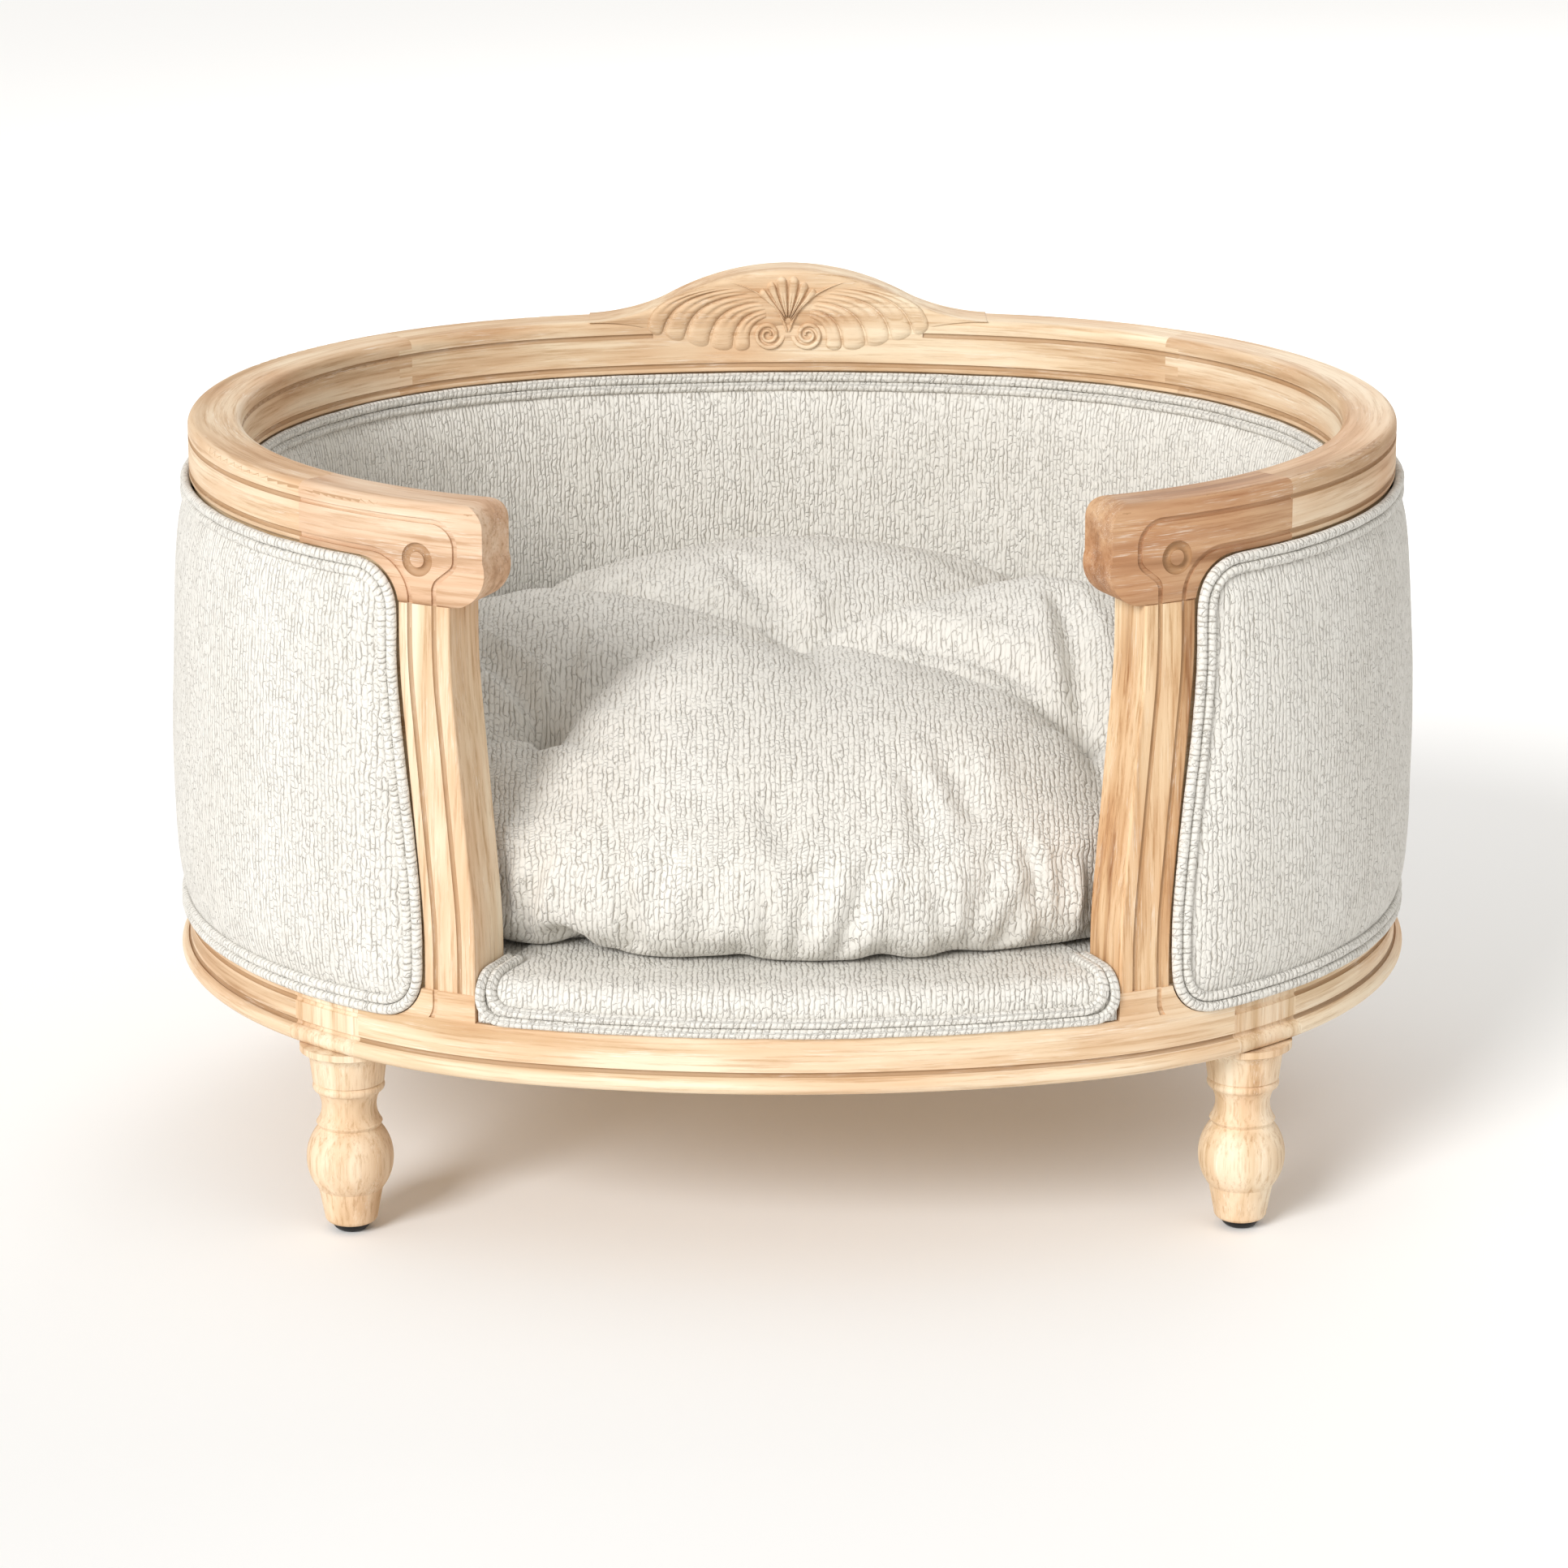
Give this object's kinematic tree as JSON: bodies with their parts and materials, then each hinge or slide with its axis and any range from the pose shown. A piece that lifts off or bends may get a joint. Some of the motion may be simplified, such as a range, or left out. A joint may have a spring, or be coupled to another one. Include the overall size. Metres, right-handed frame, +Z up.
{
  "type": "dog bed with frame",
  "caption": "Oval upholstered pet bed in a show-wood frame, with turned legs, scrolled arms, a carved crest and a loose tufted cushion that lifts out.",
  "frame": {"origin": "centre of the footprint on the floor", "axes": "+X along the long axis of the oval to the right seen from the open front, +Y to the back, +Z up"},
  "size_m": [0.724, 0.584, 0.464],
  "materials": {
    "oak_back": "matt, weathered",
    "oak_side": "matt, weathered",
    "oak_pale": "matt, weathered",
    "oak_dark": "matt, weathered",
    "inner_softwood": "sawn",
    "plywood": "sanded",
    "wadding": "soft, fibrous",
    "ribbed_chenille": "soft, ribbed pile",
    "welt_cloth": "soft, ribbed pile",
    "tuft_twine": "twisted",
    "zip_cloth": "woven tape",
    "zip_metal": "satin",
    "nail_steel": "satin",
    "glide_plastic": "matt"
  },
  "bodies": {
    "frame": {"arm_left": "oak_pale", "arm_right": "oak_dark", "back_rail": "oak_side", "crest_cap": "oak_back", "crest_rail": "oak_back", "deck_board": "plywood", "deck_cleats": "inner_softwood", "deck_cover": "ribbed_chenille", "deck_padding": "wadding", "deck_screws": "nail_steel", "deck_welt": "welt_cloth", "dowels": "inner_softwood", "front_post_left": "oak_pale", "front_post_right": "oak_dark", "front_rail": "oak_side", "glide_back_left": "glide_plastic", "glide_back_right": "glide_plastic", "glide_front_left": "glide_plastic", "glide_front_right": "glide_plastic", "glide_nails": "nail_steel", "inner_cover": "ribbed_chenille", "inner_lining": "plywood", "inner_padding": "wadding", "inner_welt": "welt_cloth", "leg_back_left": "oak_pale", "leg_back_right": "oak_pale", "leg_front_left": "oak_pale", "leg_front_right": "oak_pale", "outer_cover": "ribbed_chenille", "outer_lining": "plywood", "outer_padding": "wadding", "outer_welt": "welt_cloth", "side_rail_left": "oak_side", "side_rail_right": "oak_side", "stud_back_left": "inner_softwood", "stud_back_right": "inner_softwood", "stud_side_left": "inner_softwood", "stud_side_right": "inner_softwood", "top_rail_left": "oak_side", "top_rail_right": "oak_side"},
    "cushion": {"cushion_cover": "ribbed_chenille", "cushion_filling": "wadding", "tuft_ties": "tuft_twine", "zip_tapes": "zip_cloth"},
    "zip_slider": {"zip_slider": "zip_metal"}
  },
  "joints": [
    {"name": "cushion_lift", "type": "slide", "parent": "frame", "child": "cushion", "axis": [0, 0, 1], "range_m": [0, 0.32]},
    {"name": "zip_slide", "type": "slide", "parent": "cushion", "child": "zip_slider", "axis": [1, 0, 0], "range_m": [0, 0.38]}
  ]
}
